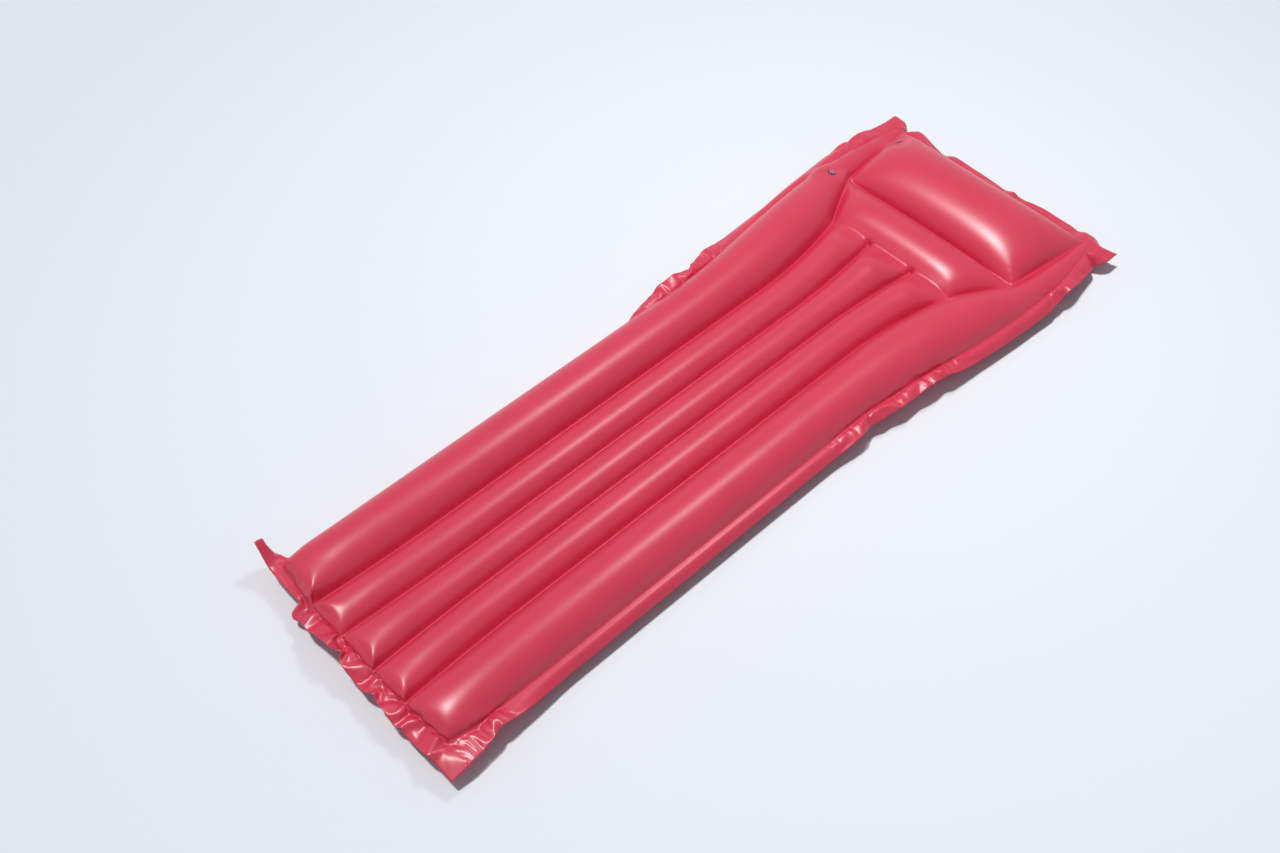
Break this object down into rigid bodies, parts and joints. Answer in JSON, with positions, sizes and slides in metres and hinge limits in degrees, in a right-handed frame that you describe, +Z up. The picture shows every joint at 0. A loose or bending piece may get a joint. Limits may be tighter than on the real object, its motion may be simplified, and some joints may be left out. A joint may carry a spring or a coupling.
{
  "type": "pool air mattress",
  "caption": "Inflated pool lounger of two welded vinyl sheets, with long tubes, a head pillow, a welded edge flange, and a clear push-in valve for each air chamber.",
  "frame": {"origin": "on the floor, under the middle of the bounding box", "axes": "+X along the mattress towards the head pillow, +Y to its left side, +Z up"},
  "size_m": [1.7762, 0.6402, 0.1049],
  "materials": {
    "red_vinyl": "soft matt PVC film",
    "clear_vinyl": "clear soft PVC",
    "cap_vinyl": "clear soft PVC with a faint violet tint"
  },
  "bodies": {
    "mattress": {"top_sheet": "red_vinyl", "bottom_sheet": "red_vinyl", "body_valve_base": "clear_vinyl", "body_valve_boot": "clear_vinyl", "pillow_valve_base": "clear_vinyl", "pillow_valve_boot": "clear_vinyl"},
    "body_stem": {"body_valve_stem": "clear_vinyl", "body_valve_strap": "clear_vinyl"},
    "body_cap": {"body_valve_cap": "cap_vinyl"},
    "body_flap": {"body_valve_flap": "clear_vinyl"},
    "pillow_stem": {"pillow_valve_stem": "clear_vinyl", "pillow_valve_strap": "clear_vinyl"},
    "pillow_cap": {"pillow_valve_cap": "cap_vinyl"},
    "pillow_flap": {"pillow_valve_flap": "clear_vinyl"}
  },
  "joints": [
    {"name": "body_stem_slide", "type": "slide", "parent": "mattress", "child": "body_stem", "axis": [0.1871, -0.0417, 0.9815], "range_m": [0, 0.012], "deforming": ["body_valve_boot"]},
    {"name": "body_cap_hinge", "type": "hinge", "parent": "body_stem", "child": "body_cap", "pos_m": [0.59321, 0.24585, 0.07227], "axis": [0, -0.9991, -0.0425], "range_deg": [0, 150]},
    {"name": "body_flap_hinge", "type": "hinge", "parent": "body_stem", "child": "body_flap", "pos_m": [0.59229, 0.24651, 0.05678], "axis": [0, 0.9991, 0.0425], "range_deg": [0, 45], "stiffness_Nm_per_rad": 0.0001, "springref_deg": -5.73},
    {"name": "pillow_stem_slide", "type": "slide", "parent": "mattress", "child": "pillow_stem", "axis": [0.1176, 0.5115, 0.8512], "range_m": [0, 0.012], "deforming": ["pillow_valve_boot"]},
    {"name": "pillow_cap_hinge", "type": "hinge", "parent": "pillow_stem", "child": "pillow_cap", "pos_m": [0.78302, 0.21915, 0.06394], "axis": [0, -0.8571, 0.5151], "range_deg": [0, 150]},
    {"name": "pillow_flap_hinge", "type": "hinge", "parent": "pillow_stem", "child": "pillow_flap", "pos_m": [0.7832, 0.21115, 0.05063], "axis": [0, 0.8571, -0.5151], "range_deg": [0, 45], "stiffness_Nm_per_rad": 0.0001, "springref_deg": -5.73}
  ]
}
